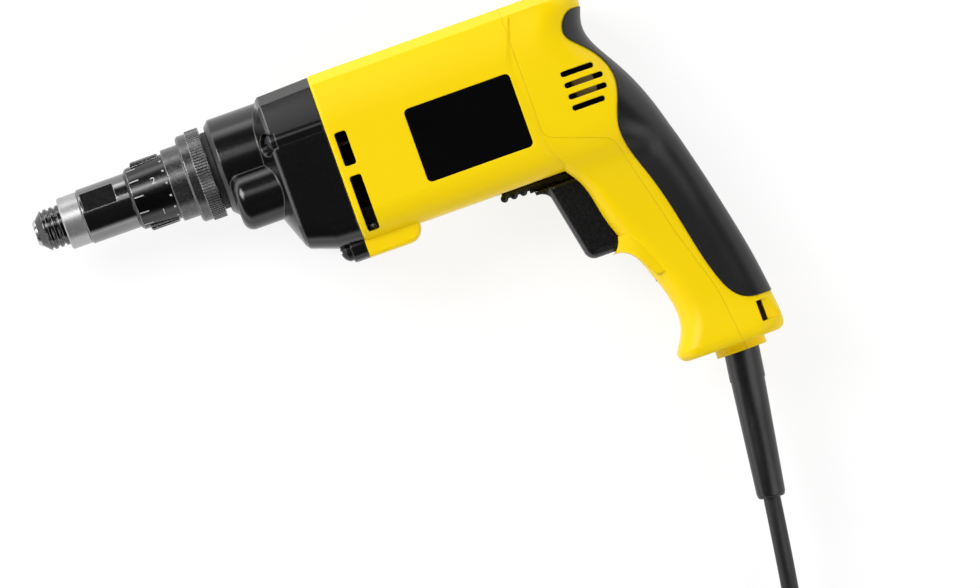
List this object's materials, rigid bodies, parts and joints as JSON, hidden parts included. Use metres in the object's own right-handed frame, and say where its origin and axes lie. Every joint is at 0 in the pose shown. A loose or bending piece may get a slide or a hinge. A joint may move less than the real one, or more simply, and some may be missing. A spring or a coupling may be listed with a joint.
{
  "type": "electric screwdriver",
  "caption": "Corded pistol-grip electric screwdriver with a geared motor, torque-adjusting nose, hex bit socket, trigger, reverse lever and a tied mains cord.",
  "frame": {"origin": "on the spindle's axis at the mouth of the bit socket", "axes": "+X back along the spindle, +Y to the tool's top, +Z to its left side, which is up as it lies"},
  "size_m": [0.3107, 0.4428, 0.07],
  "materials": {
    "yellow_shell": "satin moulded plastic",
    "grip_rubber": "satin rubber",
    "black_case": "satin black coat",
    "plain_casting": "as cast",
    "dark_steel": "blackened",
    "bright_steel": "turned",
    "spring_steel": "drawn wire",
    "core_iron": "stacked sheets",
    "copper": "enamelled wire and copper",
    "bronze": "sintered bronze",
    "brass": "bright",
    "black_plastic": "satin moulded plastic",
    "inner_plastic": "moulded plastic",
    "plate": "bare black film",
    "cord_rubber": "dull"
  },
  "bodies": {
    "tool": {"motor_housing": "yellow_shell", "rear_cover": "yellow_shell", "rear_grip": "grip_rubber", "cord_protector": "grip_rubber", "dust_seal": "grip_rubber", "gear_case": "black_case", "bearing_plate": "plain_casting", "nose_barrel": "dark_steel", "gear_case_screws": "dark_steel", "cover_screw": "dark_steel", "clamp_screws": "dark_steel", "nose_band": "bright_steel", "thrust_washer": "bright_steel", "front_bearing": "bright_steel", "rear_bearing": "bright_steel", "clutch_spring": "spring_steel", "trigger_spring": "spring_steel", "brush_springs": "spring_steel", "field_core": "core_iron", "field_coils": "copper", "nose_bush": "bronze", "rear_bush": "bronze", "idler_front_bush": "bronze", "idler_rear_bush": "bronze", "brush_holders": "brass", "plug_pins": "brass", "switch_body": "black_plastic", "cord_clamp": "black_plastic", "brushes": "black_plastic", "cord_tie": "black_plastic", "fan_baffle": "inner_plastic", "end_bracket": "inner_plastic", "name_plate": "plate", "cord_lead": "cord_rubber", "cord_coil": "cord_rubber", "plug_body": "cord_rubber"},
    "armature": {"armature_shaft": "bright_steel", "armature_core": "core_iron", "armature_windings": "copper", "commutator": "copper", "cooling_fan": "inner_plastic"},
    "idler": {"idler_pinion": "bright_steel", "idler_gear": "bright_steel"},
    "drive": {"drive_gear": "bright_steel"},
    "output": {"spindle": "bright_steel", "clutch_disc": "bright_steel", "detent_ball": "bright_steel", "release_clip": "bright_steel", "release_spring": "spring_steel"},
    "release": {"release_sleeve": "dark_steel"},
    "adjuster": {"adjusting_ring": "bright_steel", "scale_sleeve": "black_plastic"},
    "nut": {"spring_nut": "bright_steel"},
    "trigger": {"trigger": "black_plastic"},
    "lever": {"reverse_lever": "black_plastic"}
  },
  "joints": [
    {"name": "motor_spin", "type": "hinge", "parent": "tool", "child": "armature", "pos_m": [0.16, -0.01425, 0], "axis": [1, 0, 0], "continuous": true},
    {"name": "idler_spin", "type": "hinge", "parent": "tool", "child": "idler", "pos_m": [0.11, -0.01828, 0.01631], "axis": [1, 0, 0], "continuous": true},
    {"name": "drive_spin", "type": "hinge", "parent": "tool", "child": "drive", "pos_m": [0.11, 0, 0], "axis": [1, 0, 0], "continuous": true},
    {"name": "spindle_press", "type": "slide", "parent": "drive", "child": "output", "axis": [1, 0, 0], "range_m": [0, 0.0025], "stiffness_N_per_m": 3000, "deforming": ["clutch_spring"]},
    {"name": "sleeve_pull", "type": "slide", "parent": "output", "child": "release", "axis": [1, 0, 0], "range_m": [0, 0.0034], "stiffness_N_per_m": 1500, "deforming": ["release_spring"]},
    {"name": "adjuster_turn", "type": "hinge", "parent": "tool", "child": "adjuster", "pos_m": [0.075, 0, 0], "axis": [1, 0, 0], "range_deg": [0, 300]},
    {"name": "nut_slide", "type": "slide", "parent": "tool", "child": "nut", "axis": [1, 0, 0], "range_m": [0, 0.0025], "deforming": ["clutch_spring"]},
    {"name": "trigger_pull", "type": "slide", "parent": "tool", "child": "trigger", "axis": [1, 0, 0], "range_m": [0, 0.007], "stiffness_N_per_m": 1200, "deforming": ["trigger_spring"]},
    {"name": "lever_swing", "type": "hinge", "parent": "tool", "child": "lever", "pos_m": [0.234, -0.0562, 0], "axis": [0, 1, 0], "range_deg": [-10, 10]}
  ],
  "couplings": [
    {"joint": "idler_spin", "follows": "motor_spin", "ratio": -0.23077},
    {"joint": "drive_spin", "follows": "motor_spin", "ratio": 0.092308},
    {"joint": "nut_slide", "follows": "adjuster_turn", "m_per_rad": 0.00047746}
  ]
}
